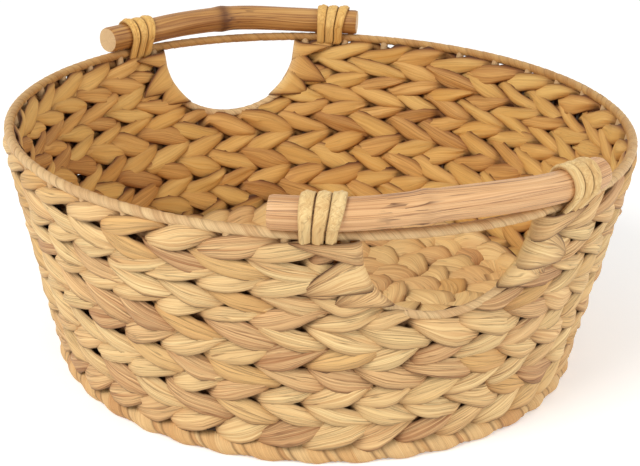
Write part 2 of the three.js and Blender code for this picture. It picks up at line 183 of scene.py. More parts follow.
class Measure:
    """A number that varies over a mesh or a surface. Sums with it add nodes to its tree, and a
    comparison gives 1 where it holds and 0 elsewhere."""

    def __init__(self, socket):
        self.socket = socket
        self.tree = socket.id_data

    def worked(self, operation, *others):
        node = self.tree.nodes.new("ShaderNodeMath")
        node.operation = operation
        for inlet, value in zip(node.inputs, (self, *others)):
            feed(inlet, value)
        return Measure(node.outputs[0])

    def __add__(self, other):
        return self.worked("ADD", other)

    def __sub__(self, other):
        return self.worked("SUBTRACT", other)

    def __rsub__(self, other):
        return self.worked("MULTIPLY_ADD", -1, other)

    def __mul__(self, other):
        return self.worked("MULTIPLY", other)

    def __truediv__(self, other):
        return self.worked("DIVIDE", other)

    def __pow__(self, other):
        return self.worked("POWER", other)

    def __mod__(self, other):
        return self.worked("FLOORED_MODULO", other)

    def __gt__(self, other):
        return self.worked("GREATER_THAN", other)

    def __lt__(self, other):
        return self.worked("LESS_THAN", other)

    __radd__ = __add__
    __rmul__ = __mul__

    def sin(self):
        return self.worked("SINE")

    def cos(self):
        return self.worked("COSINE")

    def floor(self):
        return self.worked("FLOOR")

    def size(self):
        return self.worked("ABSOLUTE")

    def between(self, low, high):
        return self.worked("MAXIMUM", low).worked("MINIMUM", high)


def feed(inlet, value):
    """Gives a node's input a fixed value, or links a measure or another node's socket to it."""
    if isinstance(value, Measure):
        value = value.socket
    if isinstance(value, bpy.types.NodeSocket):
        inlet.id_data.links.new(value, inlet)
    else:
        inlet.default_value = value


def point_of(tree, x, y, z):
    """Vector of three numbers, as a socket."""
    node = tree.nodes.new("ShaderNodeCombineXYZ")
    for inlet, value in zip(node.inputs, (x, y, z)):
        feed(inlet, value)
    return node.outputs[0]


def noises(tree, x, y, z, w=0.0, detail=0.0):
    """Three unlike smooth noises of about -1 to 1 at a place."""
    texture = tree.nodes.new("ShaderNodeTexNoise")
    texture.noise_dimensions = "4D"
    texture.inputs["Scale"].default_value = 1
    texture.inputs["Detail"].default_value = detail
    feed(texture.inputs["Vector"], point_of(tree, x, y, z))
    feed(texture.inputs["W"], w)
    split = tree.nodes.new("ShaderNodeSeparateXYZ")
    feed(split.inputs[0], texture.outputs["Color"])
    return [Measure(outlet) * 4 - 2 for outlet in split.outputs]


def plan(name, sizes):
    """Node tree for a shape, with a named input for each size, and those inputs as measures."""
    tree = bpy.data.node_groups.new(name, "GeometryNodeTree")
    tree.interface.new_socket("Geometry", in_out="OUTPUT", socket_type="NodeSocketGeometry")
    for size in sizes:
        tree.interface.new_socket(size, in_out="INPUT", socket_type="NodeSocketFloat")
    inlet = tree.nodes.new("NodeGroupInput")
    return tree, [Measure(inlet.outputs[size]) for size in sizes]


def sheet_of_points(tree, along, across):
    """Grid of quads, with its share along and its share across as measures."""
    grid = tree.nodes.new("GeometryNodeMeshGrid")
    feed(grid.inputs["Vertices X"], along)
    feed(grid.inputs["Vertices Y"], across)
    place = tree.nodes.new("GeometryNodeInputPosition")
    split = tree.nodes.new("ShaderNodeSeparateXYZ")
    feed(split.inputs[0], place.outputs[0])
    return grid.outputs["Mesh"], Measure(split.outputs[0]) + 0.5, Measure(split.outputs[1]) + 0.5


def marked(tree, mesh, name, value, domain="CORNER"):
    """Mesh with a value stored on it under a name: a place on the strip for "strand", else a number."""
    node = tree.nodes.new("GeometryNodeStoreNamedAttribute")
    node.data_type = "FLOAT2" if name == "strand" else "FLOAT"
    node.domain = domain
    node.inputs["Name"].default_value = name
    feed(node.inputs["Geometry"], mesh)
    feed(node.inputs["Value"], value)
    return node.outputs[0]


def tube_about_axis(tree, mesh, angle, radius, height):
    """Mesh with its points moved to an angle from the front, a radius and a height, and closed."""
    move = tree.nodes.new("GeometryNodeSetPosition")
    feed(move.inputs["Geometry"], mesh)
    place = point_of(tree, radius * angle.sin(), radius * angle.cos() * -1, height)
    feed(move.inputs["Position"], place)
    weld = tree.nodes.new("GeometryNodeMergeByDistance")
    weld.inputs["Distance"].default_value = WELD_DISTANCE
    feed(weld.inputs["Geometry"], move.outputs[0])
    smooth = tree.nodes.new("GeometryNodeSetShadeSmooth")
    feed(smooth.inputs["Geometry"], weld.outputs[0])
    edge = tree.nodes.new("GeometryNodeInputMeshEdgeAngle")
    sharp = tree.nodes.new("GeometryNodeSetShadeSmooth")
    sharp.domain = "EDGE"
    sharp.inputs["Shade Smooth"].default_value = False
    feed(sharp.inputs["Geometry"], smooth.outputs[0])
    steep = Measure(edge.outputs["Unsigned Angle"]) > SHARP_EDGE
    feed(sharp.inputs["Selection"], steep)
    return sharp.outputs[0]


def finished(tree, meshes, material):
    """Ends a tree: joins its meshes, realizes instances and sets the material."""
    join = tree.nodes.new("GeometryNodeJoinGeometry")
    for mesh in meshes:
        feed(join.inputs[0], mesh)
    realize = tree.nodes.new("GeometryNodeRealizeInstances")
    paint = tree.nodes.new("GeometryNodeSetMaterial")
    paint.inputs["Material"].default_value = material
    outlet = tree.nodes.new("NodeGroupOutput")
    feed(realize.inputs[0], join.outputs[0])
    feed(paint.inputs["Geometry"], realize.outputs[0])
    feed(outlet.inputs[0], paint.outputs[0])


def made(name, tree, sizes):
    """Object with the plain mesh that a tree makes for some sizes."""
    maker = bpy.data.objects.new(name, bpy.data.meshes.new(name))
    bpy.context.scene.collection.objects.link(maker)
    modifier = maker.modifiers.new("plan", "NODES")
    modifier.node_group = tree
    for item in tree.interface.items_tree:
        if item.in_out == "INPUT" and item.name in sizes:
            modifier[item.identifier] = float(sizes[item.name])
    graph = bpy.context.evaluated_depsgraph_get()
    mesh = bpy.data.meshes.new_from_object(maker.evaluated_get(graph), depsgraph=graph)
    maker.modifiers.remove(modifier)
    maker.data = mesh
    mesh.name = name
    return maker


def finish_with(name, roughness, specular=0.3):
    """New material with its node tree and its main shader."""
    material = bpy.data.materials.new(name)
    material.use_nodes = True
    shader = material.node_tree.nodes["Principled BSDF"]
    shader.inputs["Roughness"].default_value = roughness
    shader.inputs["Specular IOR Level"].default_value = specular
    return material, material.node_tree, shader


def stored(tree, name):
    """Number stored on the mesh under a name."""
    node = tree.nodes.new("ShaderNodeAttribute")
    node.attribute_name = name
    return Measure(node.outputs["Fac"])


def ramp_of(tree, value, tones):
    """Colour that goes through named tones as a value goes from 0 to 1."""
    node = tree.nodes.new("ShaderNodeValToRGB")
    node.color_ramp.elements.remove(node.color_ramp.elements[1])
    for number, (place, tone) in enumerate(tones.items()):
        element = node.color_ramp.elements[0] if number == 0 else node.color_ramp.elements.new(place)
        element.position = place
        element.color = painted(*tone)
    feed(node.inputs[0], value)
    return node.outputs[0]


def mixed(tree, share, first, second, blend="MIX"):
    """Colour mixed from two by a share."""
    node = tree.nodes.new("ShaderNodeMix")
    node.data_type = "RGBA"
    node.blend_type = blend
    feed(node.inputs["Factor"], share)
    feed(node.inputs[6], first)
    feed(node.inputs[7], second)
    return node.outputs[2]


def thin_line(noise, thinness):
    """1 along the lines on which a noise passes zero, falling to 0 beside them."""
    return (1 - noise.size() * thinness).between(0, 1)


FIBRE_INPUTS = ("Along", "Across", "Seed")
FIBRE_OUTPUTS = ("Height", "Streak", "Crease")
FIBRE_WANDER = 0.35
FINE_LINES = 5.2
BROAD_BANDS = 0.9
CREASE_LINES = 3.4
CREASE_THINNESS = 10


def fibre_group():
    """Shader group: a plant strip's lengthwise grain as a height, soft streaks and thin dark creases,
    both of 0 to 1."""
    tree = bpy.data.node_groups.new("plant_fibre", "ShaderNodeTree")
    for name in FIBRE_INPUTS:
        tree.interface.new_socket(name, in_out="INPUT", socket_type="NodeSocketFloat")
    for name in FIBRE_OUTPUTS:
        tree.interface.new_socket(name, in_out="OUTPUT", socket_type="NodeSocketFloat")
    inlet = tree.nodes.new("NodeGroupInput")
    along, across, seed = [Measure(inlet.outputs[name]) for name in FIBRE_INPUTS]
    outlet = tree.nodes.new("NodeGroupOutput")
    bent = across + noises(tree, along * 0.9, across * 0.8, seed)[0] * FIBRE_WANDER
    fine = noises(tree, along * 0.4, bent * FINE_LINES, seed + 3.1, 0.0, 2.0)[0]
    broad = noises(tree, along * 0.28, bent * BROAD_BANDS, seed + 7.7, 0.0, 1.0)[0]
    first, second, spread = noises(tree, along * 0.5, bent * CREASE_LINES, seed + 11.3, 0.0, 0.5)
    crease = thin_line(first, CREASE_THINNESS).worked("MAXIMUM", thin_line(second, CREASE_THINNESS))
    crease = crease * (spread * 1.6 + 0.45).between(0, 1)
    feed(outlet.inputs["Height"], fine * 0.4 + broad * 0.45 - crease * 0.8)
    feed(outlet.inputs["Streak"], (fine * 0.58 + broad * 0.14 + 0.5).between(0, 1))
    feed(outlet.inputs["Crease"], crease)
    return tree


plant_fibre = fibre_group()


def fibres(tree, along, across, seed):
    """Places the fibre group and returns its height, streak and crease."""
    node = tree.nodes.new("ShaderNodeGroup")
    node.node_tree = plant_fibre
    for name, value in zip(FIBRE_INPUTS, (along, across, seed)):
        feed(node.inputs[name], value)
    return [Measure(node.outputs[name]) for name in FIBRE_OUTPUTS]


def bump(tree, shader, height, strength, depth):
    """Feeds a height to a shader's normal."""
    node = tree.nodes.new("ShaderNodeBump")
    node.inputs["Strength"].default_value = strength
    node.inputs["Distance"].default_value = depth
    feed(node.inputs["Height"], height)
    feed(shader.inputs["Normal"], node.outputs[0])


def place_on_strip(tree):
    """Place on the unrolled strip that the mesh carries: how far along it, and how far across."""
    uv = tree.nodes.new("ShaderNodeUVMap")
    uv.uv_map = "strand"
    split = tree.nodes.new("ShaderNodeSeparateXYZ")
    feed(split.inputs[0], uv.outputs[0])
    return Measure(split.outputs[0]), Measure(split.outputs[1])


SEED_SPREAD = 50
STRIP_TONES = {
    0.0: (186, 142, 96),
    0.10: (214, 171, 121),
    0.24: (242, 203, 145),
    0.5: (251, 217, 155),
    0.76: (253, 224, 163),
    0.92: (240, 196, 126),
    1.0: (210, 154, 98),
}
STREAK_SHADE = (176, 122, 70)
INSIDE_PAINTED_SHADE = (241, 225, 187)
TIP_PAINTED_SHADE = (176, 116, 66)
CREASE_SHADE = (98, 56, 30)
ROUNDING_PAINTED_SHADE = (158, 106, 62)
EDGE_PAINTED_SHADE = (76, 42, 22)
TUCK_PAINTED_SHADE = (92, 54, 28)


def woven_finish():
    """Dried stalk: pale straw, each leaf its own tone; painted shade where it dives in, on edges, tips,
    inside.
    """
    material, tree, shader = finish_with("woven_hyacinth", roughness=0.62)
    along, across = place_on_strip(tree)
    tone = stored(tree, "tone")
    height, streak, crease = fibres(tree, along, across, tone * SEED_SPREAD)
    colour = ramp_of(tree, tone * 0.82 + streak * 0.18, STRIP_TONES)
    inside = stored(tree, "inside")
    lined = 1 - (inside * 2.5).between(0, 1) * 0.62
    colour = mixed(tree, (1 - streak) * 0.6 * lined, colour, painted(*STREAK_SHADE), "MULTIPLY")
    # Painted shade on the inside faces: darker and warmer, standing in for the shade and bounced light
    # inside the basket.
    colour = mixed(tree, inside, colour, painted(*INSIDE_PAINTED_SHADE), "MULTIPLY")
    # Painted shade toward the leaf tips, where they go under their neighbours.
    tip = stored(tree, "tip") ** 2
    colour = mixed(tree, tip * 0.5, colour, painted(*TIP_PAINTED_SHADE), "MULTIPLY")
    colour = mixed(tree, crease * (tip * 0.5 + 0.5) * lined, colour, painted(*CREASE_SHADE))
    edge = stored(tree, "edge")
    # Painted shade on each leaf's rounded sides, stronger on the inside faces.
    rounding_shade = edge ** 0.35 * (inside * 0.6 + 0.35)
    colour = mixed(tree, rounding_shade, colour, painted(*ROUNDING_PAINTED_SHADE), "MULTIPLY")
    # Painted shade: a thin dark line along each leaf's edges, where it meets the leaf below.
    colour = mixed(tree, edge, colour, painted(*EDGE_PAINTED_SHADE))
    # Painted shade where a strand dives in between the uprights, darker as the leaf thins into the gap.
    colour = mixed(tree, stored(tree, "painted_shade"), colour, painted(*TUCK_PAINTED_SHADE))
    feed(shader.inputs["Base Color"], colour)
    bump(tree, shader, height * lined, strength=0.75, depth=0.6 * mm)
    return material


woven_hyacinth = woven_finish()


# Along a leaf, counted in uprights: its middle, how far each tip reaches, and where its slant turns.
LEAF_MIDDLE = 0.04
LEAF_HEAD = 0.74
LEAF_TAIL = 0.9
LEAF_TURN = 0.74
# Out from the uprights: its middle, its sunk tips, and how much its first tip lies above its last.
LEAF_PROUD = 7.2 * mm
LEAF_SUNK = 1.2 * mm
LEAF_LEAN = 1.6 * mm
# Its height and its climb as shares of the course's height, and the width of its tips as a share.
LEAF_OVERLAP = 1.3
LEAF_RISE = 0.5
TIP_WIDTH = 0.44
# Powers of its fullness by which it stands out, leans and widens. A smaller one makes it blunter.
PROUD_POWER = 0.5
LEAN_POWER = 0.4
WIDTH_POWER = 0.8


def leaf_fullness(place):
    """1 in the middle of a leaf and 0 beyond its tips, at a place counted in uprights from its own."""
    from_middle = place - LEAF_MIDDLE
    reach = (from_middle / LEAF_HEAD).worked("MINIMUM", from_middle / LEAF_TAIL).between(-1, 1)
    return (reach * (math.pi / 2)).cos()


def leaf_height(fullness, place):
    """How far a leaf's face stands out from the uprights: its first tip lies over the last leaf's."""
    lean = (place - LEAF_MIDDLE) * fullness ** LEAN_POWER * LEAF_LEAN
    return fullness ** PROUD_POWER * LEAF_PROUD - LEAF_SUNK - lean


def leaf_slant(place):
    """Rises steadily from -1 to 1 along a leaf, and goes back where the strand is on the other side."""
    far = place.size()
    return (far / LEAF_TURN).worked("MINIMUM", (1 - far) / (1 - LEAF_TURN)) * place.worked("SIGN")


def chance_at(tree, dimensions, place):
    """Chance number of 0 to 1, the same wherever the place is the same."""
    node = tree.nodes.new("ShaderNodeTexWhiteNoise")
    node.noise_dimensions = dimensions
    feed(node.inputs["Vector"], place)
    return Measure(node.outputs["Value"])


# How a leaf lies: it leans over the next course, and each one sits, swells and bends by chance.
SHINGLE = 0.12
TILT = 0.2
WANDER = 0.12
SLOW_CHANGE = 0.6
STRAY = 1.7 * mm
LEAF_UNEVENNESS = 0.24
CREASE = 0.3
# How it follows the wall's slope, how sharply its two faces part, and how it tapers to a cut end.
LEAF_SLOPE_SHARE = 0.6
FACE_CONTRAST = 1.5
END_TAPER = 1.6
END_POWER = 0.6
# How it is shaded: its fibres in one turn, the painted shade where it dives in, and the painted shade
# line on its edges.
STRAND_FIBRES = 12
TUCK_REACH = 4
TUCK_DARKNESS = 0.5
EDGE_LINE = 10


def strand(tree, phase, first, stitches, held_from, held_to, twist, tall, ends, seed, ring, steps, sides):
    """One strand twined about `ring` uprights a turn: its mesh, its angle, and each point's offset
    across the course and out from the uprights. Seeds are stretched by odd factors, so that no two
    noises are alike."""
    mesh, share, round_share = sheet_of_points(tree, stitches * steps + 1, sides + 1)
    upright = first + stitches * share
    angle = upright * FULL_TURN / ring
    turn = round_share * FULL_TURN
    orbit = ring / FULL_TURN
    around_x = angle.cos() * orbit
    around_y = angle.sin() * orbit
    slow_x = around_x * SLOW_CHANGE
    slow_y = around_y * SLOW_CHANGE
    shift = noises(tree, slow_x, slow_y, seed * 3.9 + phase * 8.3)[0] * WANDER + phase
    walk = upright.between(held_from, held_to) + shift
    outer_place = (walk + 1) % 2 - 1
    inner_place = walk % 2 - 1
    outer_leaf = leaf_fullness(outer_place)
    inner_leaf = leaf_fullness(inner_place)
    outer_share = (turn.sin() * FACE_CONTRAST + 0.5).between(0, 1)
    fullness = inner_leaf + (outer_leaf - inner_leaf) * outer_share
    thicker, stray, lean = noises(tree, around_x, around_y, seed * 7.31 + phase * 3.7)
    ridge = noises(tree, turn.cos() * 1.5 + seed * 5.3, turn.sin() * 1.5, slow_x, slow_y + phase * 9)[0]
    close_to_end = (share * stitches).worked("MINIMUM", (1 - share) * stitches)
    taper = 1 - ends * (1 - (close_to_end * END_TAPER).between(0, 1) ** END_POWER)
    half_width = tall * (LEAF_OVERLAP / 2) * (TIP_WIDTH + (1 - TIP_WIDTH) * fullness ** WIDTH_POWER)
    wide = half_width * taper * (1 + thicker * LEAF_UNEVENNESS) * turn.cos()
    outer_face_at = leaf_height(outer_leaf, outer_place)
    inner_face_at = leaf_height(inner_leaf, inner_place) * -1
    middle_at = (outer_face_at + inner_face_at) / 2
    thick = (outer_face_at - inner_face_at) / 2 * turn.sin() * (1 + ridge * CREASE) * taper
    tilt = lean * TILT - outer_share * SHINGLE
    out = middle_at * taper + stray * (STRAY / 3) + wide * tilt.sin() + thick * tilt.cos()
    inner_lift = leaf_slant(inner_place) * -1
    lift = inner_lift + (leaf_slant(outer_place) - inner_lift) * outer_share
    rise = twist * lift * tall * LEAF_RISE
    across = rise + stray * STRAY * 0.6 + wide * tilt.cos() - thick * tilt.sin()
    outer_face = turn.sin() > 0
    leaf_at = ((upright + shift + outer_face) * 0.5).floor() * 2 + 1 - outer_face
    leaf = leaf_at % ring
    tone = chance_at(tree, "3D", point_of(tree, leaf * 3.7, seed * 11.3 + phase * 5.9, outer_face))
    # Painted shade where the strand dives in between the uprights, stored for the finish.
    painted_shade = (1 - (inner_leaf + (outer_leaf - inner_leaf) * outer_face) * TUCK_REACH) * TUCK_DARKNESS
    fibre_place = point_of(tree, upright + shift - leaf_at, round_share * STRAND_FIBRES, 0.0)
    mesh = marked(tree, mesh, "strand", fibre_place)
    mesh = marked(tree, mesh, "tone", tone, "FACE")
    mesh = marked(tree, mesh, "painted_shade", painted_shade.between(0, TUCK_DARKNESS))
    # Stored for the finish: a painted shade line on the leaf's edges, painted shade toward its tips and
    # on its inner face.
    mesh = marked(tree, mesh, "edge", turn.cos().size() ** EDGE_LINE)
    mesh = marked(tree, mesh, "tip", 1 - fullness)
    mesh = marked(tree, mesh, "inside", 1 - outer_face, "FACE")
    return mesh, angle, across, out


def wall_radius(height):
    """Radius of the wires' cone at a height, as a number or a measure."""
    return (height - foot_height) * wall_slope + foot_radius


def wall_strands(tree, middle, sizes):
    """Both strands of a course, on the wall at a height."""
    strands = []
    for phase in (0, 1):
        mesh, angle, across, out = strand(tree, phase, *sizes, UPRIGHTS, STEPS_PER_STITCH, STRAND_SIDES)
        radius = wall_radius(middle) + across * (wall_slope * LEAF_SLOPE_SHARE) + out
        strands.append(tube_about_axis(tree, mesh, angle, radius, middle + across))
    return strands


COURSE_SIZES = (
    "Middle", "First upright", "Stitches", "Held from", "Held to", "Twist", "Tall", "Ends", "Seed",
)
course_plan, course_inputs = plan("twined_course", COURSE_SIZES)
finished(course_plan, wall_strands(course_plan, course_inputs[0], course_inputs[1:]), woven_hyacinth)

COURSES = 11
UPPER_COURSES = 5
TOP_COURSE_RAISE = 1 * mm
NO_END = 2 * UPRIGHTS
BOTTOM_COURSE_DROP = 1.6 * mm
for number in range(UPPER_COURSES + 1, COURSES + 1):
    outer = f"course_{number:02d}_outer"
    inner = f"course_{number:02d}_inner"
    low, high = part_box(outer)
    dropped = BOTTOM_COURSE_DROP if number == COURSES else 0
    course = made(f"course_{number:02d}", course_plan, {
        "First upright": 0,
        "Stitches": UPRIGHTS,
        "Held from": -NO_END,
        "Held to": NO_END,
        "Twist": 1 if number % 2 else -1,
        "Middle": (low.z + high.z) / 2 - dropped,
        "Tall": high.z - low.z + 2 * dropped,
        "Ends": 0,
        "Seed": number,
    })
    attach(course, "root")
    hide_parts(outer, inner)

# Upper courses: five stop at the two hand cut-outs. The top three are folded round the cut-out's wire
# in broad rounded tongues that lie over the last leaves, and the next two run out under its wrapping.
CUTOUT_WIDTH = 132 * mm
CUTOUT_DEPTH = 61.5 * mm
FOLDED_COURSES = 3
FOLD_THICKNESS = 2.2 * mm
FOLD_STEPS = 40
FOLD_SIDES = 20
FOLD_FIBRES = 14
FOLD_FLATTENING = 0.55
FOLD_WIDTH_POWER = 0.9
FOLD_THICKNESS_POWER = 0.3
FOLD_UNEVENNESS = 0.2
FOLD_RIPPLE_LENGTH = 24 * mm
FOLD_TUCK_DARKNESS = 0.8
FOLD_SEED_STEP = 2.7
BACK_SEED = 5
LEFT_SEED = 20
FIBRE_SPAN = 31 * mm
# A fold's width, its reach outside and inside, its lean, its drop and its bend's radius, in mm.
FOLD_SIZES = ("Width", "Outside", "Inside", "Lean", "Drop", "Bend")
FOLDS = {
    1: (19, 46, 34, 7, -2, 7.4),
    2: (32, 52, 40, -21, 0, 6.6),
    3: (27, 39, 32, -14, 2, 6),
}


def cutout_angle(height):
    """Angle from the middle of a cut-out to its wire at a height, as a measure."""
    fall = ((rim_height - height) / CUTOUT_DEPTH).between(0, 1)
    half_width = (1 - fall ** 2) ** 0.5 * (CUTOUT_WIDTH / 2)
    return (half_width / wall_radius(height)).worked("ARCSINE")


def fold(tree, side, back, middle, width, outside, inside, lean, drop, bend_radius, seed):
    """Tongue that comes from under the leaves outside, goes round the wire and in again."""
    mesh, share, round_share = sheet_of_points(tree, FOLD_STEPS + 1, FOLD_SIDES + 1)
    turn = round_share * FULL_TURN
    quarter = bend_radius * (math.pi / 2)
    path = outside * -1 + share * (outside + inside)
    bend = path.between(quarter * -1, quarter) / bend_radius
    away = (path.size() - quarter).worked("MAXIMUM", 0) - bend.cos() * bend_radius
    reach = away / outside
    out = bend.sin() * bend_radius * -1 * (1 - reach.between(0, 1) ** 2 * FOLD_FLATTENING)
    closing = (1 + path / outside).worked("MINIMUM", 1 - path / inside).between(0, 1)
    ripple_at = path / FOLD_RIPPLE_LENGTH
    rough, stray, lift = noises(tree, ripple_at, turn.cos() * 0.8, turn.sin() * 0.8, seed * 3.3)
    wide = width * 0.5 * closing ** FOLD_WIDTH_POWER * turn.cos()
    round_thick = (FOLD_THICKNESS / 2) * closing ** FOLD_THICKNESS_POWER * turn.sin()
    thick = round_thick * (1 + rough * FOLD_UNEVENNESS)
    height = middle - drop + lean * reach + wide + stray * 0.5 * mm
    depth = out + thick * (bend.sin() * -1 + bend.cos() * 0.2) + (lift * 0.4) * mm
    front = away - thick * bend.cos()
    leaning = (height - middle) * (wall_slope * LEAF_SLOPE_SHARE)
    radius = wall_radius(middle + lean * reach * 0.4) + leaning + depth
    sweep = cutout_angle(height) + front / radius
    angle = back * math.pi + side * sweep * (1 - 2 * back)
    fibre_place = point_of(tree, path / FIBRE_SPAN, round_share * FOLD_FIBRES, 0.0)
    mesh = marked(tree, mesh, "strand", fibre_place)
    mesh = marked(tree, mesh, "tone", (seed * 0.618).worked("FRACT") * 0.5 + 0.2, "FACE")
    # Painted shade toward the tongue's ends where it goes under the leaves, on its edges and tips, and on
    # the part inside the bend.
    mesh = marked(tree, mesh, "painted_shade", (1 - closing) ** 6 * FOLD_TUCK_DARKNESS)
    mesh = marked(tree, mesh, "edge", turn.cos().size() ** EDGE_LINE)
    mesh = marked(tree, mesh, "tip", 1 - closing)
    mesh = marked(tree, mesh, "inside", bend.sin().between(0, 1))
    return tube_about_axis(tree, mesh, angle, radius, height)


folded_plan, inputs = plan("folded_course", (*COURSE_SIZES, "Side", *FOLD_SIZES, "Fold seed"))
course_part = inputs[:len(COURSE_SIZES)]
side, *fold_part, fold_seed = inputs[len(COURSE_SIZES):]
pieces = wall_strands(folded_plan, course_part[0], course_part[1:])
for back_share in (0, 1):
    seed = fold_seed + back_share * BACK_SEED
    pieces.append(fold(folded_plan, side, back_share, course_part[0], *fold_part, seed))
finished(folded_plan, pieces, woven_hyacinth)


def cutout_upright(height):
    """Uprights between the middle of a cut-out and its wire at a height."""
    fall = min(max((rim_height - height) / CUTOUT_DEPTH, 0), 1)
    half_width = CUTOUT_WIDTH / 2 * math.sqrt(1 - fall ** 2)
    return math.asin(half_width / wall_radius(height)) / (FULL_TURN / UPRIGHTS)


for number in range(1, UPPER_COURSES + 1):
    folded = number <= FOLDED_COURSES
    for side_name, side_sign in (("right", 1), ("left", -1)):
        base = f"course_{number:02d}"
        nodes_replaced = (
            [f"{base}_{side_name}"] if folded
            else [f"{base}_{face}_{side_name}" for face in ("outer", "inner")]
        )
        low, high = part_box(nodes_replaced[0])
        raised = TOP_COURSE_RAISE if number == 1 else 0
        middle = (low.z + high.z) / 2 + raised
        start = cutout_upright(middle)
        # The strands no longer change sides beyond this upright.
        held = 2 if number < UPPER_COURSES else 1
        half = UPRIGHTS / 2
        shift = 0 if side_name == "right" else half
        sizes = {
            "First upright": shift + start,
            "Stitches": half - 2 * start,
            "Held from": shift + held,
            "Held to": shift + half - held,
            "Twist": 1 if number % 2 else -1,
            "Middle": middle,
            "Tall": high.z - low.z + raised,
            "Ends": 1,
            "Seed": number + (0 if side_name == "right" else LEFT_SEED),
            "Side": side_sign,
            "Fold seed": number * FOLD_SEED_STEP + side_sign,
        }
        if folded:
            sizes.update({name: size * mm for name, size in zip(FOLD_SIZES, FOLDS[number])})
        course = made(f"{base}_{side_name}", folded_plan if folded else course_plan, sizes)
        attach(course, "root")
        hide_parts(*nodes_replaced)

# Cut-out wraps: a strip wound round the cut-out's wire where the hand goes under, from the folds on one
# side to those on the other. Its turns lie aslant, each edge over the last one.
CUTOUT_WRAP_RADIUS = 3.1 * mm
CUTOUT_WRAP_FROM = 0.12
CUTOUT_WRAP_TURNS = 22
WRAP_STEPS_PER_TURN = 6
WRAP_SIDES = 14
WRAP_SLANT = 2
WRAP_LIP = 0.09
WRAP_FIBRES = 5
WRAP_FIBRE_LENGTHS = 0.9
SEAM_OFFSET = 0.01
SEAM_WIDTH = 0.05
STRIP_WRAP_TONES = {
    0.0: (198, 156, 106),
    0.2: (222, 184, 132),
    0.5: (230, 196, 144),
    0.8: (236, 204, 150),
    1.0: (216, 172, 116),
}
WRAP_INSIDE_PAINTED_SHADE = (228, 208, 172)
WRAP_CREASE_SHADE = (120, 72, 38)
STRIP_PAINTED_SHADE = (120, 78, 44)


def strip_finish(name, tones, line_depth):
    """Flat dried strip wound round something: fine lines along the strip, with painted shade on its seams
    and inner side.
    """
    material, tree, shader = finish_with(name, roughness=0.6)
    along, across = place_on_strip(tree)
    tone = stored(tree, "tone")
    height, streak, crease = fibres(tree, along, across, tone * SEED_SPREAD)
    colour = ramp_of(tree, tone * 0.75 + streak * 0.25, tones)
    colour = mixed(tree, (1 - streak) * 0.35, colour, painted(*STREAK_SHADE), "MULTIPLY")
    # Painted shade: darker and warmer where the strip faces into the basket.
    colour = mixed(tree, stored(tree, "inside"), colour, painted(*WRAP_INSIDE_PAINTED_SHADE), "MULTIPLY")
    colour = mixed(tree, crease * 0.4, colour, painted(*WRAP_CREASE_SHADE))
    # Painted shade: seam lines, tie lines, cord edges and stubs, as stored on each mesh.
    colour = mixed(tree, stored(tree, "painted_shade"), colour, painted(*STRIP_PAINTED_SHADE))
    feed(shader.inputs["Base Color"], colour)
    bump(tree, shader, height, strength=0.5, depth=line_depth)
    return material


wound_strip = strip_finish("wound_strip", STRIP_WRAP_TONES, line_depth=0.4 * mm)


def wound(tree, turns, seed):
    """Strip wound `turns` times: its mesh, the share of the way along, the share of the way round, and
    the factor by which its radius swells from one edge of the strip to the other."""
    rows = (turns + WRAP_SLANT) * WRAP_STEPS_PER_TURN + 1
    mesh, share, round_share = sheet_of_points(tree, rows, WRAP_SIDES + 1)
    place = share * (turns + WRAP_SLANT)
    within = (place + SEAM_OFFSET) % 1
    number = (place + SEAM_OFFSET).floor() % turns
    tone = chance_at(tree, "2D", point_of(tree, number, seed, 0.0))
    fibre_place = point_of(tree, round_share * WRAP_FIBRE_LENGTHS, place * WRAP_FIBRES, 0.0)
    mesh = marked(tree, mesh, "strand", fibre_place)
    mesh = marked(tree, mesh, "tone", tone, "FACE")
    # Painted shade in a thin line along each turn's edge, where it lies over the last one.
    seam = (within < SEAM_WIDTH) * (tone * 0.35 + 0.05)
    mesh = marked(tree, mesh, "painted_shade", seam)
    lip = (tone * 0.8 + 0.6) * WRAP_LIP
    along = ((place + (round_share - 1) * WRAP_SLANT) / turns).between(0, 1)
    return mesh, along, round_share, 1 + (within - 1) * lip


wrap_plan, (side,) = plan("cutout_wrap", ("Back",))
mesh, share, round_share, swell = wound(wrap_plan, CUTOUT_WRAP_TURNS, side + 3)
bow = (share * (1 - 2 * CUTOUT_WRAP_FROM) + CUTOUT_WRAP_FROM) * math.pi
path_x = bow.cos() * (-CUTOUT_WIDTH / 2)
path_z = rim_height - bow.sin() * CUTOUT_DEPTH
slope_x = bow.sin() * (CUTOUT_WIDTH / 2)
slope_z = bow.cos() * -CUTOUT_DEPTH
slope = (slope_x ** 2 + slope_z ** 2) ** 0.5
ends = ((0.5 - (share - 0.5).size()) * CUTOUT_WRAP_TURNS).between(0, 1) ** 0.5
thickness = swell * ends * CUTOUT_WRAP_RADIUS
turn = round_share * FULL_TURN
x = path_x - slope_z / slope * thickness * turn.cos()
z = path_z + slope_x / slope * thickness * turn.cos()
angle = (x / wall_radius(z)).worked("ARCSINE") + side * math.pi
radius = wall_radius(z) + thickness * turn.sin()
finished(wrap_plan, [tube_about_axis(wrap_plan, mesh, angle, radius, z)], wound_strip)
for back_share, place_name in enumerate(("front", "back")):
    node = f"cutout_wrap_{place_name}"
    wrap = made(f"{node}_strip", wrap_plan, {"Back": back_share})
    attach(wrap, "root")
    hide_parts(node)

# Rim wrap: the same strip wound all round the rim's wire, over the tops of the uprights. Where a slot is
# left above the top course, each upright shows in it with a turn of strip about it.
RIM_WRAP_TURNS = 170
RIM_WRAP_FULLNESS = 1.04
STUBS_PER_SIDE = 17
STUB_RADIUS = 3.1 * mm
STUB_LENGTH = 10 * mm
STUB_SIDES = 12
STUB_TONE = 0.3
STUB_DARKNESS = 0.1
FIRST_STUB = 2

